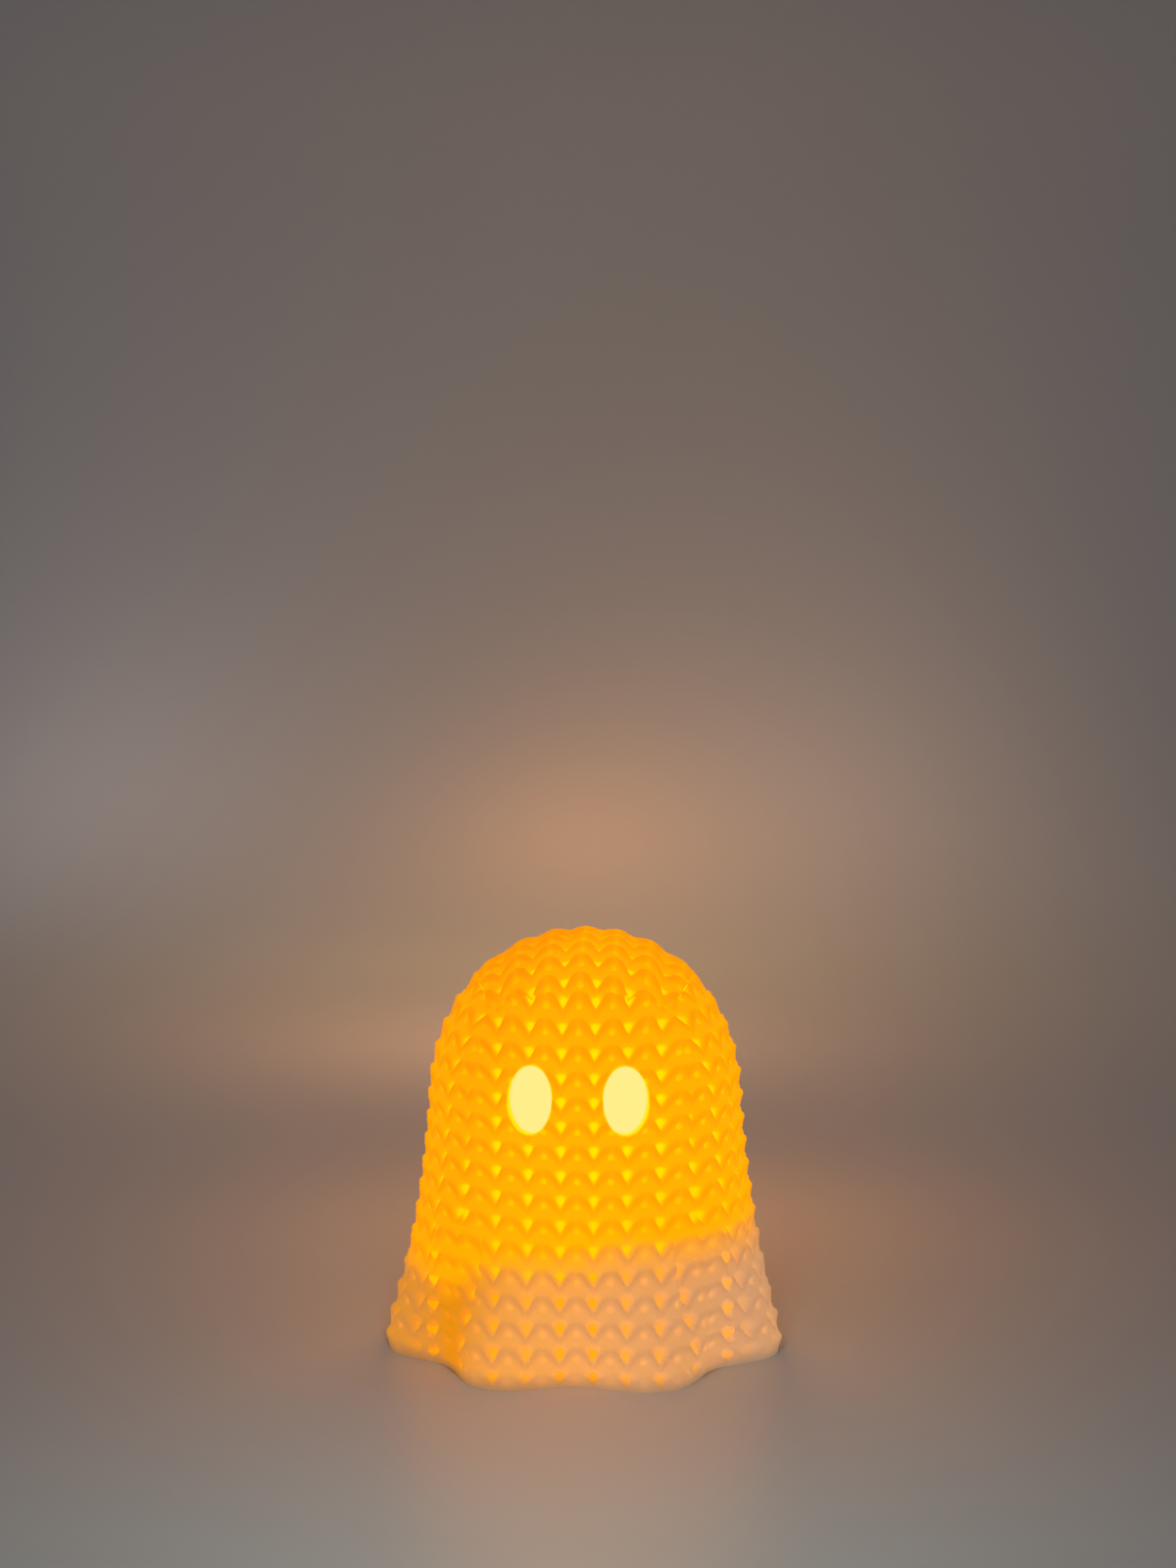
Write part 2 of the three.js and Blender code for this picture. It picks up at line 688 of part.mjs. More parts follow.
function makePlate() {
  const plate = disc(plateRadius, 0, plateThickness);
  const well = disc(wellOuter, 0, roofHigh, wellOffset, 0);
  const pillar = disc(pillarOuter, roofLow, pillarHigh, 0, 0, 24);
  const bossRadius = screwRadius + screwBoreGap + bossWall;
  const boss = disc(bossRadius, 0, plateThickness + bossHeight, wellOffset, earPlace, 24);
  const railPlace = sliderWidth / 2 + fitGap;
  const rails = [-1, 1].map((side) => {
    const inner = switchOffset + side * railPlace;
    const outer = inner + side * railWidth;
    return block(
      Math.min(inner, outer), Math.max(inner, outer),
      -sliderLength / 2 - 1, sliderLength / 2 + switchTravel + 1, plateThickness, plateThickness + railHeight,
    );
  });
  const pocket = join(
    disc(pocketRadius, -1, pocketHigh, wellOffset, 0),
    disc(earRadius + fitGap, -1, doorLow + earThickness + fitGap, wellOffset, earPlace, 24),
    block(
      wellOffset - hingeWidth / 2 - fitGap, wellOffset + hingeWidth / 2 + fitGap,
      hingePlace - hingeRadius - fitGap, 0, -1, pocketHigh,
    ),
  );
  const cellBore = disc(wellRadius, -1, roofLow, wellOffset, 0);
  const screwBore = disc(screwRadius + screwBoreGap, -1, 2 * cupHeight, wellOffset, earPlace, 24);
  const pillarHole = disc(pillarBore, 0, cupHeight, 0, 0, 24);
  const leafSlot = block(
    wellOffset + wellRadius - 1, wellOffset + wellOuter + 1,
    -stripWidth / 2 - fitGap, stripWidth / 2 + fitGap, cellLow + 0.3 - fitGap, cupHeight,
  );
  const legSlot = block(
    0, pillarOuter + 1, -legThickness / 2 - fitGap, legThickness / 2 + fitGap,
    roofHigh, bridgeHeight + 2 * legThickness + 2 * fitGap,
  );
  const switchSlot = block(
    switchOffset - nubWidth / 2 - fitGap, switchOffset + nubWidth / 2 + fitGap,
    -nubLength / 2 - fitGap, nubLength / 2 + switchTravel + fitGap, -1, plateThickness + 1,
  );
  return cut(
    join(plate, well, pillar, boss, ...rails),
    pocket, cellBore, screwBore, pillarHole, leafSlot, legSlot, switchSlot,
  );
}

// Finishes

const glowingPlastic = { color: 0xffa51c, roughness: 0.55, metalness: 0 };
const whitePlastic = { color: 0xf3efe6, roughness: 0.4, metalness: 0 };
const frostedPlastic = { color: 0xffd98a, roughness: 0.35, metalness: 0 };
const clearResin = { color: 0xfff1c4, roughness: 0.1, metalness: 0 };
const blackPlastic = { color: 0x202022, roughness: 0.45, metalness: 0 };
const cellSteel = { color: 0xc4c5c8, roughness: 0.25, metalness: 1 };
const contactSteel = { color: 0xb9b7b0, roughness: 0.35, metalness: 1 };
const tinnedWire = { color: 0xd0d0cc, roughness: 0.3, metalness: 1 };

// The seven folds reach further back than forward, so the shell is centred by its outline.
// The tealight stands loose inside it, on the origin.
const shellMesh = toMesh('ghost_shell', ghostShell, glowingPlastic);
const shellBox = new THREE.Box3().setFromObject(shellMesh);
shellMesh.position.y = -(shellBox.min.y + shellBox.max.y) / 2;

const group = new THREE.Group();
group.add(
  shellMesh,
  toMesh('tealight_cup', makeCup(), whitePlastic),
  toMesh('flame_tip', makeFlame(), frostedPlastic),
  toMesh('led_lamp', makeLamp(), clearResin),
  toMesh('led_leg_positive', makePositiveLeg(), tinnedWire),
  toMesh('led_leg_negative', makeNegativeLeg(), tinnedWire),
  toMesh('base_plate', makePlate(), whitePlastic),
  toMesh('coin_cell', makeCell(), cellSteel),
  toMesh('contact_positive', makePositiveContact(), contactSteel),
  toMesh('contact_negative', makeNegativeContact(), contactSteel),
  toMesh('switch_slider', makeSlider(), blackPlastic),
  toMesh('switch_contact', makeSwitchContact(), contactSteel),
  toMesh('battery_door', makeDoor(), whitePlastic),
  toMesh('door_screw', makeScrew(), cellSteel),
);

export default group;
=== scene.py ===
# %% [markdown]
# # A knitted ghost over a tealight
# A small lantern: a thin plastic shell shaped like a draped ghost, with a chunky knit in relief,
# stands over a battery tealight. The light shines through the wall, most of all where it is thin.
# The CAD model is loaded first. It is the fixed frame, and the looks are built round it.

# %% Load the frame
import math

import bpy
import numpy as np
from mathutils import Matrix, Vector


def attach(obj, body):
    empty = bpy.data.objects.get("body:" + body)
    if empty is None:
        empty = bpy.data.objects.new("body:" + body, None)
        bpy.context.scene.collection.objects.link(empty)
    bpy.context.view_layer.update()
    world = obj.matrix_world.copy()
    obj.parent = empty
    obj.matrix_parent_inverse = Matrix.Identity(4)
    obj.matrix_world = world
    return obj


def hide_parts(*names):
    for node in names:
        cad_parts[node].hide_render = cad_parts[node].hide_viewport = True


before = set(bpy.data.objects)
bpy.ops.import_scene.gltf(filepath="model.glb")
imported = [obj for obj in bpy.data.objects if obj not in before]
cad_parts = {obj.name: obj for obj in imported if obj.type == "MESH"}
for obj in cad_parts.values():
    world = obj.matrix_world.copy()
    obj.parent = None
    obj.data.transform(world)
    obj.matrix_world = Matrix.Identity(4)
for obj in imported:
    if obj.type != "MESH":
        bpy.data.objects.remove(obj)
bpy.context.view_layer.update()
MM = 0.001
print("nodes:", ", ".join(sorted(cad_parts)))

# %% [markdown]
# ## Tools for modelling
# An operator acts on all that is selected, so everything is deselected before a primitive is
# added. A finished piece keeps its place in its mesh, with its object at the origin.

# %% Selecting, placing and cutting


def only(piece):
    """Leaves just this piece selected and active."""
    bpy.ops.object.select_all(action="DESELECT")
    piece.select_set(True)
    bpy.context.view_layer.objects.active = piece
    return piece


def started(name):
    """The primitive that an operator has just added, under its own name."""
    piece = bpy.context.object
    piece.name = piece.data.name = name
    return piece


def settled(piece):
    """Puts the object's place, turn and scale into its mesh."""
    only(piece)
    bpy.ops.object.transform_apply(location=True, rotation=True, scale=True)
    return piece


def coords(piece):
    """The vertices of a mesh as an array of rows."""
    places = np.empty(3 * len(piece.data.vertices))
    piece.data.vertices.foreach_get("co", places)
    return places.reshape(-1, 3)


def place(piece, places):
    """Writes an array of rows back to the vertices of a mesh."""
    piece.data.vertices.foreach_set("co", np.ravel(places))
    piece.data.update()


def combined(piece, tool, operation):
    """Joins a second closed mesh to a piece, or cuts it away, and removes it."""
    modifier = piece.modifiers.new(operation.lower(), "BOOLEAN")
    modifier.operation = operation
    modifier.solver = "MANIFOLD"
    modifier.object = tool
    only(piece)
    bpy.ops.object.modifier_apply(modifier=modifier.name)
    bpy.data.objects.remove(tool)
    return piece


def count(piece):
    """Prints how many triangles a piece has."""
    piece.data.calc_loop_triangles()
    print(f"{piece.name}: {len(piece.data.loop_triangles)} triangles")


# %% [markdown]
# ## Tools for materials
# A material is a tree of nodes. One small class wraps a socket, so that shader maths reads like
# a sum, and its method `node` adds any other node.

# %% Shader maths


class Field:
    """A value, vector or colour in a material's tree."""

    def __init__(self, tree, socket=None):
        self.tree = tree
        self.socket = socket

    def node(self, kind, inputs=None, out=0, stops=None, **settings):
        made = self.tree.nodes.new("ShaderNode" + kind)
        for name, value in settings.items():
            setattr(made, name, value)
        if stops:
            ramp = made.color_ramp
            while len(ramp.elements) < len(stops):
                ramp.elements.new(1)
            for element, (spot, colour) in zip(ramp.elements, stops):
                element.position = spot
                element.color = (*colour, 1)
        for key, value in (inputs or {}).items():
            self.feed(made.inputs[key], value)
        return Field(self.tree, made.outputs[out])

    def feed(self, socket, value):
        if isinstance(value, Field):
            self.tree.links.new(value.socket, socket)
        elif hasattr(value, "__len__") and len(value) == 3 and socket.type == "RGBA":
            socket.default_value = (*value, 1)
        else:
            socket.default_value = value

    def math(self, operation, *values):
        return self.node("Math", dict(enumerate(values)), operation=operation)

    def __add__(self, other):
        return self.math("ADD", self, other)

    def __sub__(self, other):
        return self.math("SUBTRACT", self, other)

    def __rsub__(self, other):
        return self.math("SUBTRACT", other, self)

    def __mul__(self, other):
        return self.math("MULTIPLY", self, other)

    def __truediv__(self, other):
        return self.math("DIVIDE", self, other)

    def __mod__(self, other):
        return self.math("FLOORED_MODULO", self, other)

    def __pow__(self, other):
        return self.math("POWER", self, other)

    def __abs__(self):
        return self.math("ABSOLUTE", self)

    __radd__ = __add__
    __rmul__ = __mul__

    def rising(self, start, end):
        """0 before start and 1 after end, with a smooth rise between them."""
        steps = {"Value": self, "From Min": start, "From Max": end}
        return self.node("MapRange", steps, interpolation_type="SMOOTHSTEP")

    def mix(self, first, second):
        """The first colour where this value is 0, and the second where it is 1."""
        return self.node("Mix", {0: self, 6: first, 7: second}, out=2, data_type="RGBA")


def new_material(name, **constants):
    """A material, its Principled shader with constants set on it, and a field to start from."""
    material = bpy.data.materials.new(name)
    material.use_nodes = True
    shader = material.node_tree.nodes["Principled BSDF"]
    start = Field(material.node_tree)
    for socket, value in constants.items():
        start.feed(shader.inputs[socket.replace("_", " ")], value)
    return material, shader, start


def object_place(start):
    """The place on the object, in metres."""
    return start.node("TexCoord", out="Object")


def noise(start, scale, detail=2.0):
    """Soft random variation from 0 to 1, with scale in waves per metre."""
    inputs = {"Vector": object_place(start), "Scale": scale, "Detail": detail}
    return start.node("TexNoise", inputs)


def bump(start, height, strength, distance):
    """A small relief on the surface, with distance in metres."""
    inputs = {"Height": height, "Strength": strength, "Distance": distance}
    return start.node("Bump", inputs)


# %% [markdown]
# ## The ghost's surface
# The ghost is a body of revolution with soft folds at the hem: a tapered body, a full dome and a
# flaring skirt whose radius rises and falls seven times round. The same formulas shaped the CAD
# solid, so the two agree. Sizes are in millimetres, and an angle of 0 is the front.

# %% Outline and folds
SHELL_HEIGHT = 75.4
WALL = 2.2
SHOULDER_RADIUS = 28.25
SHOULDER_HEIGHT = 44.0
DOME_HEIGHT = SHELL_HEIGHT - SHOULDER_HEIGHT
FULLNESS = 2.1
TAPER = 0.1
FLARE = 1.75
FLARE_HEIGHT = 36.0
TUCK = 1.3
TUCK_HEIGHT = 5.0
FOLDS = 7
FOLD_DEPTH = 2.77
FOLD_HEIGHT = 22.8
FOLD_FADE = 1.3
frame_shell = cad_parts["ghost_shell"]
frame_places = np.array([frame_shell.matrix_world @ v.co for v in frame_shell.data.vertices]) / MM
at_shoulder = np.abs(frame_places[:, 2] - SHOULDER_HEIGHT) < 3
belt_y = frame_places[at_shoulder, 1]
AXIS_Y = float(belt_y.min() + belt_y.max()) / 2
print(f"axis of the ghost at y = {AXIS_Y:.3f} mm")


def smooth(share):
    """A share from 0 to 1 with soft ends."""
    share = np.clip(share, 0, 1)
    return share * share * (3 - 2 * share)


def mean_radius(z):
    """Radius of the ghost at a height, without its folds."""
    dome = np.clip((z - SHOULDER_HEIGHT) / DOME_HEIGHT, 0, 1)
    above = SHOULDER_RADIUS * (1 - dome**FULLNESS) ** (1 / FULLNESS)
    flare = FLARE * (1 + np.cos(np.pi * np.clip(z / FLARE_HEIGHT, 0, 1))) / 2
    tuck = TUCK * np.clip(1 - z / TUCK_HEIGHT, 0, None) ** 2
    below = SHOULDER_RADIUS + TAPER * (SHOULDER_HEIGHT - z) + flare - tuck
    return np.where(z > SHOULDER_HEIGHT, above, below)


def fold(z, angle):
    """How far the folds draw the skirt in."""
    share = np.clip(1 - z / FOLD_HEIGHT, 0, 1)
    return FOLD_DEPTH * share**FOLD_FADE * np.cos(FOLDS * angle)


def lean(z):
    """How far the wall leans back from upright, in radians."""
    dome = np.clip((z - SHOULDER_HEIGHT) / DOME_HEIGHT, 0, 1)
    across = (1 - dome**FULLNESS) ** ((FULLNESS - 1) / FULLNESS) / SHOULDER_RADIUS
    above = np.arctan2(dome ** (FULLNESS - 1) / DOME_HEIGHT, across)
    step = 0.05
    below = np.arctan2(mean_radius(z - step) - mean_radius(z + step), 2 * step)
    return np.where(z > SHOULDER_HEIGHT, above, below)


turns = np.linspace(0, np.pi / 2, 2001)
dome_z = SHOULDER_HEIGHT + DOME_HEIGHT * np.sin(turns) ** (2 / FULLNESS)
outline_z = np.concatenate([np.linspace(0, SHOULDER_HEIGHT, 1000, endpoint=False), dome_z])
outline_r = mean_radius(outline_z)
outline_run = np.concatenate([[0], np.cumsum(np.hypot(np.diff(outline_z), np.diff(outline_r)))])
print(f"outline {outline_run[-1]:.1f} mm long")

# %% [markdown]
# ## The knit
# Stocking stitch is rows of zig-zag strands: high between two columns of stitches, low inside
# each V, where a deep pit lets the light out. The pattern lies flat on four upright faces and
# on the crown, so a place on it is two numbers: stitches across, and rows up. The way a wall
# faces decides which of the faces it takes its pattern from, also on the skirt's folds.

# %% Knit pattern
STITCH = 5.9
ROW = 4.24
FIRST_PIT = 2.92
SKIRT_TOP = 24.0
SKIRT_STRETCH = 0.05
CROWN_PIT = -0.1
PEAK = 0.13
FALL = 0.62
ARCH = 2.3
STRAND_ABOVE = 0.2
STRAND_BELOW = 0.36
CREST_TO_CREST = 0.62
PIT_HALF = (1.2, 1.6)
PIT_DEPTH = 0.75
PIT_NARROWING = 0.4
PIT_NARROWEST = 0.2
PIT_WIDEST = 1.15
DOT_DROP = 0.23
DOT_DEPTH = 0.45
FOLD_TURN = 0.21
FOLD_TURNS = 8
FOLD_TURN_TOP = 26.9
FOLD_TURN_RISE = 1.4


def facing(z, angle):
    """Direction that the wall faces: the flanks of the skirt's folds turn it aside."""
    share = smooth((FOLD_TURN_TOP - z) / FOLD_TURN_RISE)
    return angle - FOLD_TURN * share * np.sin(FOLD_TURNS * angle)


def chosen_face(z, angle):
    """Whether the pattern comes from the crown, and whether from the front or back face."""
    aside = facing(z, angle)
    flattest = np.maximum(np.abs(np.cos(aside)), np.abs(np.sin(aside)))
    return np.tan(lean(z)) > flattest, np.cos(2 * aside) > 0


def knit_place(x, y, z, crown, in_front):
    """Stitches across and rows up at points given from the ghost's own axis."""
    across = np.where(crown | in_front, x, y) / STITCH
    stretched = z + SKIRT_STRETCH * np.clip(SKIRT_TOP - z, 0, None)
    up = np.where(crown, (y - CROWN_PIT) / ROW, (stretched - FIRST_PIT) / ROW)
    return across, up


def knit_height(across, up):
    """Height of the relief in millimetres."""
    vee = 1 - np.abs((2 * across) % 2 - 1)
    from_crest = (up - PEAK + FALL * vee**ARCH + CREST_TO_CREST) % 1 - CREST_TO_CREST
    steep = np.sqrt(np.clip(1 - (from_crest / STRAND_ABOVE) ** 2, 0, 1))
    gentle = 0.5 + 0.5 * np.cos(np.pi * np.clip(from_crest / STRAND_BELOW, -1, 0))
    strand = np.where(from_crest > 0, steep, gentle)
    beside = (1 - vee) * STITCH / 2
    above = ROW * ((up + 0.5) % 1 - 0.5)
    narrow = np.clip(1 + PIT_NARROWING * above, PIT_NARROWEST, PIT_WIDEST)
    drop = np.hypot(beside / (PIT_HALF[0] * narrow), above / PIT_HALF[1])
    below = ROW * ((up + DOT_DROP + 0.5) % 1 - 0.5)
    dot = np.hypot(vee * STITCH / 2, below)
    pit_depth = PIT_DEPTH * smooth((1.15 - drop) / 0.65)
    dot_depth = DOT_DEPTH * smooth(1.6 - 2 * dot)
    ground = -0.3 - 0.2 * vee
    lobe = 0.75 - 0.4 * vee**1.5
    return ground + lobe * strand - pit_depth - dot_depth


# %% [markdown]
# ## The shell's outside
# The blank is the upper half of a sphere with a fine net of rings and segments. Its vertices
# then move to the ghost's outline and out or in by the knit. An operator could displace them by
# a texture, but moving them in code keeps the stitches exactly on the CAD solid's.

# %% Blank for the outside
SEGMENTS = 448
HALF_RINGS = 196


def half_sphere(name, segments, rings, cuts=0):
    """The upper half of a sphere of radius 1, closed by a flat floor, each face cut finer."""
    bpy.ops.object.select_all(action="DESELECT")
    bpy.ops.mesh.primitive_uv_sphere_add(
        segments=segments // (cuts + 1), ring_count=2 * rings // (cuts + 1), radius=1
    )
    piece = started(name)
    bpy.ops.object.mode_set(mode="EDIT")
    bpy.ops.mesh.select_all(action="SELECT")
    bpy.ops.mesh.bisect(
        plane_co=(0, 0, 0), plane_no=(0, 0, 1), use_fill=True, clear_inner=True, threshold=1e-4
    )
    if cuts:
        bpy.ops.mesh.select_all(action="SELECT")
        bpy.ops.mesh.subdivide(number_cuts=cuts)
    bpy.ops.object.mode_set(mode="OBJECT")
    return piece


def ring_and_angle(piece, rings):
    """Each vertex's ring, counted up from the floor, and its angle from the front."""
    places = coords(piece)
    rise = np.arctan2(places[:, 2], np.hypot(places[:, 0], places[:, 1]))
    ring = rise / (math.pi / 2) * rings
    near_pole = ring > rings - 4
    ring = np.clip(np.where(near_pole, ring, np.rint(ring)), 0, rings)
    return ring, np.arctan2(places[:, 0], -places[:, 1])


shell = half_sphere("ghost_knit_shell", SEGMENTS, HALF_RINGS, cuts=3)
count(shell)

# %% [markdown]
# ## Shape and knit
# Each vertex finds its place by its ring and its angle. The relief fades out at the hem and in a
# narrow border round the eyes, so their edges are clean.

# %% Shape and knit
HEM_FADE = 3.0
EYE_WIDTH = 8.2
EYE_HEIGHT = 11.8
EYE_Z = 49.6
EYE_TURN = math.radians(17.7)
EYE_BORDER = 0.45


def eye_distance(z, angle, radius):
    """Distance from the nearer eye's edge, in eye radii: 0 on it, below 0 inside."""
    across = radius * np.sin(np.abs(angle) - EYE_TURN) / (EYE_WIDTH / 2)
    away = np.hypot(across, (z - EYE_Z) / (EYE_HEIGHT / 2)) - 1
    return np.where(np.abs(angle) < math.pi / 2, away, 1)


def shell_places(run, angle, proud):
    """Points of the ghost's surface at a run up the outline, moved outwards by proud."""
    z = np.interp(run, outline_run, outline_z)
    radius = np.interp(run, outline_run, outline_r) - fold(z, angle)
    tilt = lean(z)
    out, up = radius + proud * np.cos(tilt), z + proud * np.sin(tilt)
    return np.stack([out * np.sin(angle), -out * np.cos(angle), up], axis=1)


ring, angle = ring_and_angle(shell, HALF_RINGS)
run = ring / HALF_RINGS * outline_run[-1]
bare = shell_places(run, angle, 0)
relief = knit_height(*knit_place(*bare.T, *chosen_face(bare[:, 2], angle)))
radius = np.hypot(bare[:, 0], bare[:, 1])
relief *= smooth(eye_distance(bare[:, 2], angle, radius) / EYE_BORDER)
relief *= smooth(bare[:, 2] / HEM_FADE)
outside = shell_places(run, angle, relief)
outside[:, 1] += AXIS_Y
place(shell, outside * MM)
print(f"relief from {relief.min():.2f} to {relief.max():.2f} mm")

# %% [markdown]
# ## Knit map
# The knit's two numbers also go into a UV map, face by face, so that the material can draw the
# pits sharper than the net of vertices. They are taken before the relief, like the relief itself.

# %% Knit map
shell_mesh = shell.data
loop_vertex = np.empty(len(shell_mesh.loops), dtype=int)
shell_mesh.loops.foreach_get("vertex_index", loop_vertex)
face_loops = np.empty(len(shell_mesh.polygons), dtype=int)
shell_mesh.polygons.foreach_get("loop_total", face_loops)
loop_face = np.repeat(np.arange(len(face_loops)), face_loops)
face_bare = np.stack(
    [np.bincount(loop_face, weights=bare[loop_vertex, k]) / face_loops for k in range(3)]
)
face_angle = np.arctan2(face_bare[0], -face_bare[1])
face_crown, face_front = chosen_face(face_bare[2], face_angle)
on_map = knit_place(*bare[loop_vertex].T, face_crown[loop_face], face_front[loop_face])
knit_map = shell_mesh.uv_layers.new(name="Knit")
knit_map.data.foreach_set("uv", np.stack(on_map, axis=1).ravel())
print(f"{face_crown.mean():.0%} of the faces lie on the crown, {face_front.mean():.0%} face forwards")


def mark(piece, name, values):
    """Gives each face of a piece a value that its material, or a cut, can read."""
    marks = piece.data.attributes.new(name, "FLOAT", "FACE")
    marks.data.foreach_set("value", np.broadcast_to(values, len(marks.data)).astype(np.float32))


# %% [markdown]
# ## Hollow and eyes
# The inside is smooth: a second, coarser blank one wall behind the surface is cut away. The eyes
# are ovals cut square to the wall, so their own walls show as bright rims from the side. The
# faces that a cut leaves behind keep the mark of the cutter.

# %% Cut the hollow and the eyes
INNER_SEGMENTS = 112
INNER_RINGS = 44

hollow = half_sphere("hollow", INNER_SEGMENTS, INNER_RINGS)
ring, angle = ring_and_angle(hollow, INNER_RINGS)
inside = shell_places(ring / INNER_RINGS * outline_run[-1], angle, -WALL)
inside[ring == 0, 2] = -WALL
inside[:, 1] += AXIS_Y
place(hollow, inside * MM)
mark(hollow, "inside", 1)
combined(shell, hollow, "DIFFERENCE")

EYE_REACH = float(mean_radius(np.array(EYE_Z)))
for side in (-1, 1):
    bpy.ops.object.select_all(action="DESELECT")
    bpy.ops.mesh.primitive_cylinder_add(
        vertices=96, radius=0.5 * MM, depth=8 * WALL * MM, rotation=(math.pi / 2, 0, 0)
    )
    cutter = settled(started("eye_cutter"))
    cutter.scale = (EYE_WIDTH, 1, EYE_HEIGHT)
    cutter.rotation_euler = (0, 0, side * EYE_TURN)
    cutter.location = (
        EYE_REACH * math.sin(side * EYE_TURN) * MM,
        (AXIS_Y - EYE_REACH * math.cos(EYE_TURN)) * MM,
        EYE_Z * MM,
    )
    mark(settled(cutter), "rim", 1)
    combined(shell, cutter, "DIFFERENCE")
only(shell)
bpy.ops.object.shade_smooth_by_angle(angle=math.radians(50))
count(shell)

# %% [markdown]
# ## Shade of the cup
# The tealight's cup shades the foot of the wall. Attributes tell the material how far a point
# lies under the line where the shade begins, where a fold on the left is lit after all, how
# much light leaks through the pits in the shade, and how cool the light of the room makes it.
# The back is shaded as the front is, so nothing jumps where the two meet.

# %% Shade of the cup
places = coords(shell) / MM
height = places[:, 2]
angle = np.arctan2(places[:, 0], np.abs(AXIS_Y - places[:, 1]))


def shade_line(angle):
    """Height at which the cup's shade begins, in millimetres: lower on the left."""
    return 22 + 2.8 * smooth((angle + 0.1) / 0.4) - 4.5 * smooth((-angle - 0.45) / 0.5)


under = shade_line(angle) - height
# Painted light: a fold on the left stays lit further down than the rest.
lit_fold = np.exp(-(((angle + 0.76 + 0.002 * height) / (0.12 + 0.009 * height)) ** 2))
to_right = np.clip(0.4 + angle / 2.2, 0, 1)
leaking = 0.45 + 0.5 * np.exp(-((angle / 0.16) ** 2)) + 0.3 * smooth((-angle - 0.3) / 0.2)
fields = {
    "shaded": under,
    "lit_fold_glow": lit_fold,
    "leaking": leaking * (1 - 0.7 * smooth((np.abs(angle) - 1.0) / 0.1)),
    # Painted shade: dimmer, cooler stray light and a greyer base deep in the shade on the right.
    "cool": to_right * smooth((under + 3) / 14) * 1.1,
    # Painted shade: the glow and the stray light are dimmer on the left.
    "left": smooth((-angle - 0.2) / 0.7),
}
for name, values in fields.items():
    stored = shell_mesh.attributes.new(name, "FLOAT", "POINT")
    stored.data.foreach_set("value", values.astype(np.float32))
    print(f"{name}: {values.min():.2f} to {values.max():.2f}")

# %% [markdown]
# ## Glowing plastic
# The wall is milky plastic lit from behind; the glow and the cup's shade are painted into its
# emission colour. Thick strands filter the light to a deep orange, grooves are lighter, and pits
# are yellow. Under the shade line only stray light is left, so the plastic shows a pale base
# colour. Its base colour is painted too: deep orange where it glows, greyer deep in the shade.

# %% Shell material
HOLLOW_GLOW = (1.0, 0.65, 0.23)
RIM_GLOW = (1.0, 0.66, 0.0)
# Base colour painted for plastic lit by the glow.
LIT_GLOW_ORANGE = (0.8, 0.25, 0.0)
LAYER_WAVES = 800.0


def attribute(start, name):
    """A number that the mesh carries for this material."""
    return start.node("Attribute", out="Fac", attribute_name=name)


def knit_fields(start):
    """How far a spot is in a strand, in a pit and in a dot, each from 0 to 1."""
    spot = start.node("UVMap", uv_map="Knit")
    across = start.node("SeparateXYZ", {0: spot}, out="X")
    up = start.node("SeparateXYZ", {0: spot}, out="Y")
    vee = 1 - abs((across * 2) % 2 - 1)
    from_crest = (up + vee**ARCH * FALL + (CREST_TO_CREST - PEAK)) % 1 - CREST_TO_CREST
    strand = (1 - from_crest.rising(0.0, 0.24)) * from_crest.rising(-0.46, -0.12)
    strand = strand * (vee * (1 - vee) * 2.1 + 0.45)
    beside = (1 - vee) * (STITCH / 2)
    above = ((up + 0.5) % 1 - 0.5) * ROW
    narrow = start.math("MAXIMUM", 1 + above * PIT_NARROWING, PIT_NARROWEST)
    narrow = start.math("MINIMUM", narrow, PIT_WIDEST)
    rounded = start.math("MAXIMUM", above / PIT_HALF[1], above / 1.15)
    drop = ((beside / (narrow * PIT_HALF[0])) ** 2 + rounded**2) ** 0.5
    pit = 1 - drop.rising(0.25, 0.98)
    below = ((up + (DOT_DROP + 0.5)) % 1 - 0.5) * ROW
    dot = 1 - ((vee * (STITCH / 2)) ** 2 + below**2).rising(0.03, 0.65)
    return strand, pit, dot


def millimetres(start):
    """The three numbers of a place on the object, from the ghost's axis."""
    x, y, z = (start.node("SeparateXYZ", {0: object_place(start)}, out=axis) / MM for axis in "XYZ")
    return x, y - AXIS_Y, z


def eye_lip(start):
    """1 at the edge of an eye, falling to 0 within half a millimetre outside it."""
    x, y, z = millimetres(start)
    across = (abs(x) * math.cos(EYE_TURN) + y * math.sin(EYE_TURN)) / (EYE_WIDTH / 2)
    above = (z - EYE_Z) / (EYE_HEIGHT / 2)
    return 1 - (across**2 + above**2).rising(1.0, 1.2)


def painted_rim_glow(start):
    """Painted glow on the wall of an eye: yellow at the outside, and as bright as the hollow further
    in.
    """
    x, y, _ = millimetres(start)
    outer_share = ((x**2 + y**2) ** 0.5).rising(EYE_REACH - 1.35, EYE_REACH - 0.95)
    return outer_share.mix(HOLLOW_GLOW, RIM_GLOW)


def lit_colour(start, strand, pit, dot, cloud, height):
    """Light through the wall: deeper where it is thick, on the left, and near crown and shade."""
    under = attribute(start, "shaded")
    bright = 1 - under.rising(-16.0, 2.0) * 0.55
    # Painted glow through the wall: brighter in pits and dots, dimmer in strands, brighter round the
    # eyes, dimmer on the left and towards the crown, and varied at random.
    glow_through_wall = 0.4 - strand * 0.25 + (pit * 0.55 + dot * 0.2) * bright
    glow_through_wall = glow_through_wall + eye_lip(start) * 0.4 - attribute(start, "left") * 0.12
    glow_through_wall = glow_through_wall - height.rising(45.0, 78.0) * 0.1 + (cloud - 0.5) * 0.1
    stops = [(0, (0.90, 0.27, 0)), (0.15, (1, 0.33, 0)), (0.4, (1, 0.41, 0))]
    stops += [(0.6, (1, 0.54, 0)), (1, (1, 0.74, 0))]
    return start.node("ValToRGB", {0: glow_through_wall}, stops=stops)


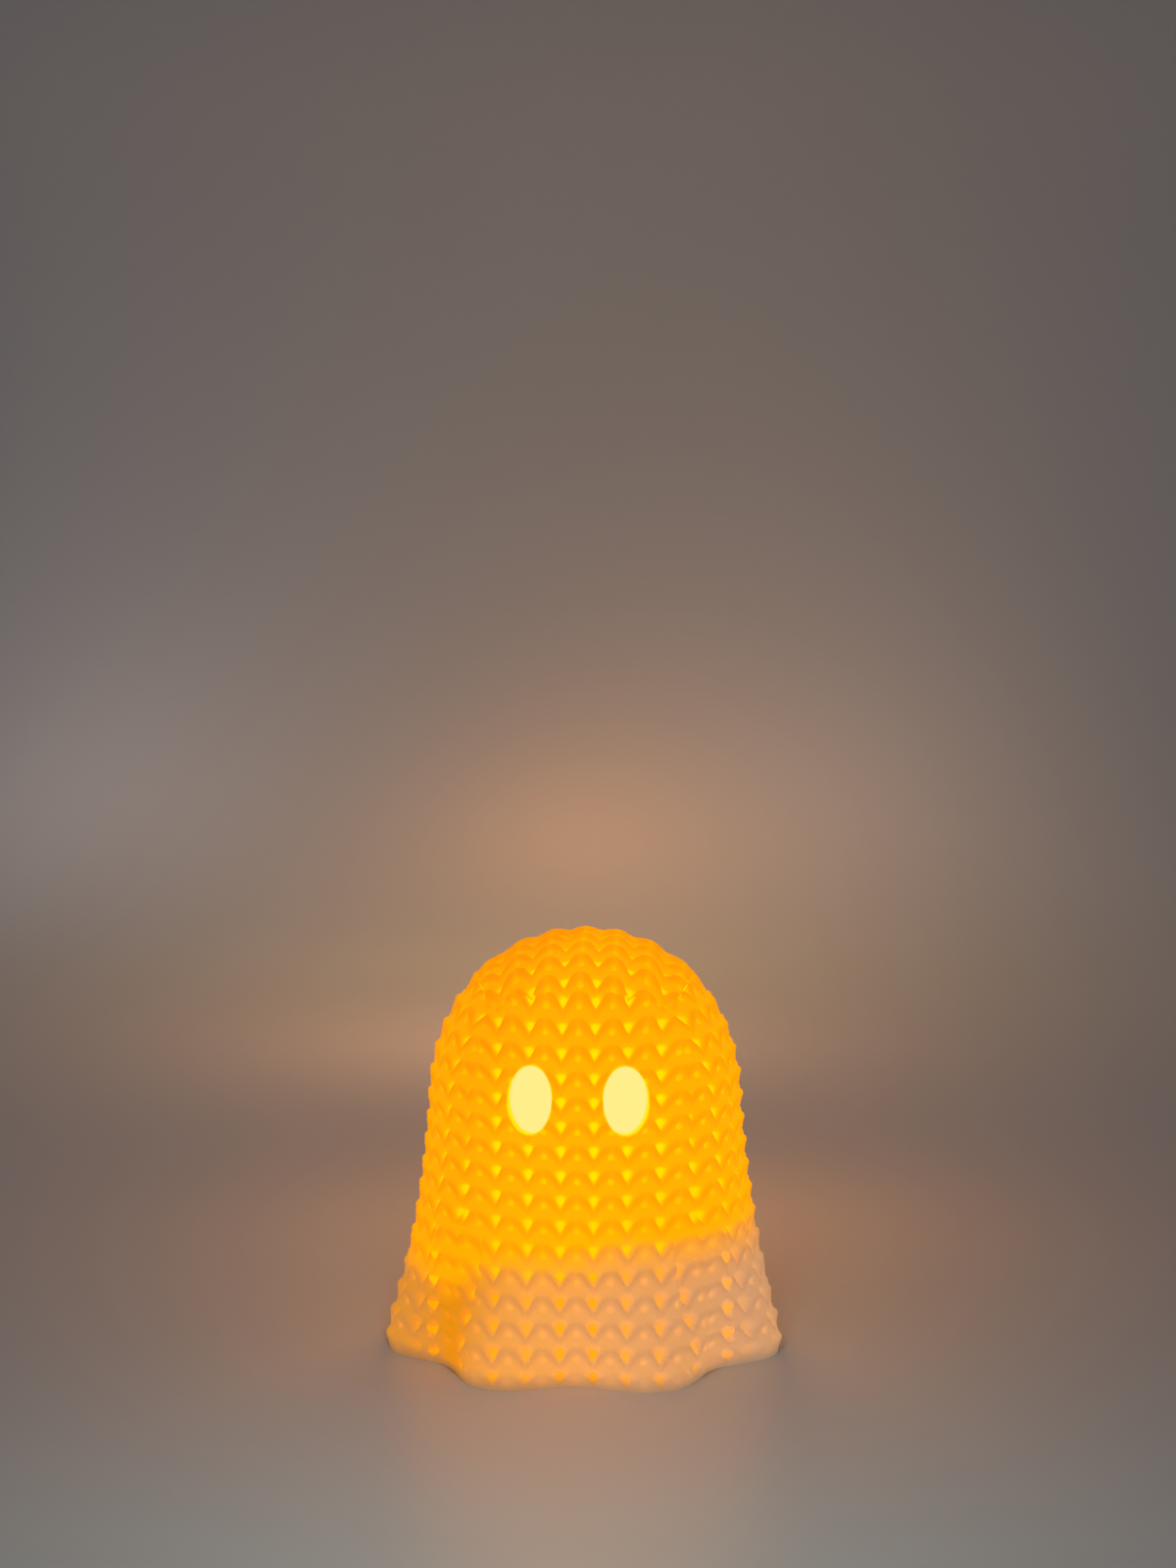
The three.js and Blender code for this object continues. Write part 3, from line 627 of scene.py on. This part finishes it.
def shaded_colour(start, strand, pit, dot, cool, lit_fold_glow, height):
    """Stray light in the cup's shade: least on the right, with light leaking at the pits."""
    stray = cool.mix((0.86, 0.30, 0.0), (0.55, 0.225, 0.045))
    stray = (attribute(start, "left") * 0.8).mix(stray, (0.54, 0.185, 0.0))
    stray = (strand * 0.5).mix(stray, (0.42, 0.16, 0.03))
    stray = (dot * 0.3).mix(stray, (1.0, 0.36, 0.05))
    stray = (lit_fold_glow * 0.9).mix(stray, (0.66, 0.23, 0.0))
    leak = pit.rising(0.3, 1.0) * attribute(start, "leaking")
    stray = leak.mix(stray, (1.0, 0.40, 0.0))
    # Painted shade: the stray light darkens over the lowest three millimetres, down to the hem.
    return height.rising(-0.5, 3.0).mix((0.20, 0.10, 0.03), stray)


def make_shell_plastic():
    """Milky plastic that glows through its knit, and lies in shade below."""
    material, shader, start = new_material(
        "glowing_plastic", Roughness=0.6, IOR=1.46, Specular_IOR_Level=0.12
    )
    strand, pit, dot = knit_fields(start)
    cloud = noise(start, 60.0)
    height = start.node("SeparateXYZ", {0: object_place(start)}, out="Z") / MM
    cool = attribute(start, "cool")
    lit_fold_glow = attribute(start, "lit_fold_glow")
    edge = attribute(start, "shaded") - pit * 1.5 - (1 - strand) * 1.2 - lit_fold_glow * 3 + cloud * 2
    shaded = edge.rising(-2.2, 4.6)
    lit = lit_colour(start, strand, pit, dot, cloud, height)
    outer = shaded.mix(lit, shaded_colour(start, strand, pit, dot, cool, lit_fold_glow, height))
    inside = attribute(start, "inside")
    # Painted glow: the light through the wall, the cup's shade, the lit hollow and the eye rims are
    # all emission colour.
    glow = attribute(start, "rim").mix(inside.mix(outer, HOLLOW_GLOW), painted_rim_glow(start))
    start.feed(shader.inputs["Emission Color"], glow)
    start.feed(shader.inputs["Emission Strength"], 1.0)
    # Painted light in the base colour: deep orange where the wall glows, where light leaks through
    # pits and on the lit fold; pale in the shade, greyer deep in the shade on the right; a darker
    # base inside the hollow.
    leaking = start.math("MINIMUM", pit * attribute(start, "leaking") * 1.3, 1.0)
    painted_leak_glow = start.math("MAXIMUM", leaking, lit_fold_glow * 0.9)
    pale = painted_leak_glow.mix(cool.mix((0.8, 0.45, 0.2), (0.84, 0.80, 0.78)), LIT_GLOW_ORANGE)
    base_with_painted_glow = inside.mix(shaded.mix(LIT_GLOW_ORANGE, pale), (0.3, 0.25, 0.1))
    start.feed(shader.inputs["Base Color"], base_with_painted_glow)
    waves = {"Vector": object_place(start), "Scale": LAYER_WAVES}
    layers = start.node("TexWave", waves, out="Fac", bands_direction="Z")
    start.feed(shader.inputs["Normal"], bump(start, layers, 0.12, 0.00005))
    return material


shell_mesh.materials.clear()
shell_mesh.materials.append(make_shell_plastic())
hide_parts("ghost_shell")
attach(shell, "shell")
print("shell material:", shell_mesh.materials[0].name)

# %% [markdown]
# ## The tealight
# It stands under the shell and shows when the shell is lifted. Its pieces come from the CAD
# model, and each gets the finish of the real one.

# %% Tealight materials


def make_white_plastic():
    material, shader, start = new_material("white_plastic", Roughness=0.38, IOR=1.46)
    cloud = noise(start, 90.0)
    start.feed(shader.inputs["Base Color"], cloud.mix((0.80, 0.78, 0.73), (0.86, 0.84, 0.80)))
    start.feed(shader.inputs["Normal"], bump(start, noise(start, 2500.0), 0.1, 0.0001))
    return material


def make_flame_plastic():
    material, shader, start = new_material("flame_plastic", Roughness=0.35, IOR=1.5)
    height = start.node("SeparateXYZ", {0: object_place(start)}, out="Z") / MM
    core = height.rising(14.0, 34.0)
    start.feed(shader.inputs["Base Color"], core.mix((0.95, 0.75, 0.35), (0.95, 0.55, 0.15)))
    start.feed(shader.inputs["Emission Color"], core.mix((1.0, 0.80, 0.30), (1.0, 0.45, 0.06)))
    start.feed(shader.inputs["Emission Strength"], 1.0)
    return material


def make_lamp_resin():
    material, shader, start = new_material("lamp_resin", Roughness=0.15, IOR=1.5)
    cloud = noise(start, 400.0)
    start.feed(shader.inputs["Base Color"], cloud.mix((0.9, 0.7, 0.3), (0.95, 0.8, 0.45)))
    start.feed(shader.inputs["Emission Color"], cloud.mix((1.0, 0.75, 0.25), (1.0, 0.82, 0.35)))
    start.feed(shader.inputs["Emission Strength"], 1.0)
    return material


def make_metal(name, light, dark, roughness, grain):
    material, shader, start = new_material(name, Metallic=1.0, Roughness=roughness)
    cloud = noise(start, grain, 4.0)
    start.feed(shader.inputs["Base Color"], cloud.mix(dark, light))
    start.feed(shader.inputs["Roughness"], cloud * 0.15 + (roughness - 0.07))
    start.feed(shader.inputs["Normal"], bump(start, cloud, 0.1, 0.00005))
    return material


def make_black_plastic():
    material, shader, start = new_material("black_plastic", Roughness=0.45, IOR=1.46)
    cloud = noise(start, 1500.0)
    start.feed(shader.inputs["Base Color"], cloud.mix((0.015, 0.015, 0.016), (0.03, 0.03, 0.032)))
    start.feed(shader.inputs["Normal"], bump(start, cloud, 0.15, 0.0001))
    return material


white_plastic = make_white_plastic()
steel = make_metal("cell_steel", (0.72, 0.72, 0.7), (0.6, 0.6, 0.59), 0.28, 300.0)
wire = make_metal("tinned_wire", (0.74, 0.73, 0.7), (0.6, 0.59, 0.56), 0.25, 900.0)
strip = make_metal("contact_steel", (0.66, 0.65, 0.62), (0.52, 0.51, 0.49), 0.3, 600.0)
finishes = {
    "tealight_cup": white_plastic,
    "base_plate": white_plastic,
    "battery_door": white_plastic,
    "flame_tip": make_flame_plastic(),
    "led_lamp": make_lamp_resin(),
    "coin_cell": steel,
    "switch_slider": make_black_plastic(),
    "led_leg_positive": wire,
    "led_leg_negative": wire,
    "contact_positive": strip,
    "contact_negative": strip,
    "switch_contact": strip,
    "door_screw": strip,
}
for node, material in finishes.items():
    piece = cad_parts[node]
    piece.data.materials.clear()
    piece.data.materials.append(material)
print(len(finishes), "nodes finished")

# %% [markdown]
# ## Table and backdrop
# A plain pale floor sweeps up to a wall, so far behind the object that it hides nothing when
# the object is seen from the back. The floor's rear edge is drawn up, and the fold is rounded.

# %% Floor and backdrop
FLOOR_HALF = 3.0
WALL_Y = 0.78
WALL_HEIGHT = 2.0
SWEEP_RADIUS = 0.32


def make_floor():
    """The floor and the wall behind it, in one sheet."""
    bpy.ops.object.select_all(action="DESELECT")
    bpy.ops.mesh.primitive_plane_add(size=2)
    piece = started("floor")
    places = coords(piece) * FLOOR_HALF
    places[:, 1] = np.where(places[:, 1] > 0, WALL_Y, -FLOOR_HALF)
    place(piece, places)
    bpy.ops.object.mode_set(mode="EDIT")
    bpy.ops.mesh.select_all(action="DESELECT")
    bpy.ops.object.mode_set(mode="OBJECT")
    for edge in piece.data.edges:
        edge.select = all(piece.data.vertices[v].co.y > 0 for v in edge.vertices)
    for vertex in piece.data.vertices:
        vertex.select = vertex.co.y > 0
    bpy.ops.object.mode_set(mode="EDIT")
    bpy.ops.mesh.select_mode(type="EDGE")
    bpy.ops.mesh.extrude_region_move(TRANSFORM_OT_translate={"value": (0, 0, WALL_HEIGHT)})
    bpy.ops.object.mode_set(mode="OBJECT")
    bevel = piece.modifiers.new("sweep", "BEVEL")
    bevel.width = SWEEP_RADIUS
    bevel.segments = 32
    only(piece)
    bpy.ops.object.modifier_apply(modifier="sweep")
    bpy.ops.object.shade_smooth()
    material, shader, start = new_material("pale_floor", Roughness=0.42, IOR=1.4)
    cloud = noise(start, 6.0)
    start.feed(shader.inputs["Base Color"], cloud.mix((0.60, 0.585, 0.565), (0.64, 0.625, 0.60)))
    start.feed(shader.inputs["Normal"], bump(start, noise(start, 900.0), 0.05, 0.0005))
    piece.data.materials.append(material)
    return piece


floor = make_floor()

# %% [markdown]
# ## Light of the room
# The room is dim and evenly lit, so that the glow shows. One broad, weak light stands for a window.

# %% Light
world = bpy.data.worlds.new("dim_room")
world.use_nodes = True
world.node_tree.nodes["Background"].inputs["Color"].default_value = (0.52, 0.75, 1.0, 1)
world.node_tree.nodes["Background"].inputs["Strength"].default_value = 0.141
bpy.context.scene.world = world


def soft_light(name, spot, aim, width, watts, colour):
    """A round area light at a spot, aimed at another."""
    lamp = bpy.data.lights.new(name, "AREA")
    lamp.shape = "DISK"
    lamp.size = width
    lamp.energy = watts
    lamp.color = colour
    holder = bpy.data.objects.new(name, lamp)
    holder.location = spot
    holder.rotation_euler = (Vector(aim) - Vector(spot)).to_track_quat("-Z", "Y").to_euler()
    bpy.context.scene.collection.objects.link(holder)


soft_light("window", (-0.45, -0.62, 0.42), (0, 0, 0.03), 0.45, 0.25, (1, 1, 1))

# %% [markdown]
# ## Spill of the glow
# The shell's glow is part of its material. Small lamps that only the floor and the wall receive
# stand for the light that it throws on them, each with its place, its watts and its colour.

# %% Spill of the glow on the table and the wall
LAMP_RADIUS = 0.02
SPILLS = {
    "spill_back": ((0, 0.085, 0.075), 0.143, (1.0, 0.39, 0.10)),
    "wall_glow": ((-0.03, 0.42, 0.14), 0.31, (1.0, 0.56, 0.18)),
    "wall_left": ((-0.22, 0.55, 0.14), 0.112, (1.0, 0.84, 0.80)),
    "wall_right": ((0.06, 0.55, 0.14), 0.113, (1.0, 0.67, 0.50)),
    "wall_near": ((-0.03, 0.28, 0.09), 0.195, (1.0, 0.45, 0.18)),
    "wall_low": ((-0.03, 0.55, 0.09), 0.080, (1.0, 0.38, 0.09)),
    "spill_front": ((0, -0.06, 0.05), 0.018, (1.0, 0.2, 0.0)),
    "table_pool": ((0, -0.13, 0.11), 0.155, (0.96, 1.0, 0.88)),
}
lit_stage = bpy.data.collections.new("lit_by_spill")
lit_stage.objects.link(floor)
for name, (spot, watts, colour) in SPILLS.items():
    lamp = bpy.data.lights.new(name, "POINT")
    lamp.energy = watts
    lamp.color = colour
    lamp.shadow_soft_size = LAMP_RADIUS
    holder = bpy.data.objects.new(name, lamp)
    holder.location = spot
    holder.visible_camera = False
    holder.visible_glossy = not name.startswith("wall")
    holder.light_linking.receiver_collection = lit_stage
    bpy.context.scene.collection.objects.link(holder)

# %% [markdown]
# ## Camera
# It stands where the photograph was taken, a little above the ghost and to its side.

# %% Camera
camera = bpy.data.cameras.new("camera")
camera.lens = 69.64
camera.sensor_width = 36
camera.clip_start = 0.01
eye = bpy.data.objects.new("camera", camera)
eye.location = (0.0270, -0.5430, 0.1589)
eye.rotation_euler = Vector((-0.0486, 0.9933, -0.1044)).to_track_quat("-Z", "Y").to_euler()
bpy.context.scene.collection.objects.link(eye)
bpy.context.scene.camera = eye
bpy.context.scene.view_settings.view_transform = "Standard"
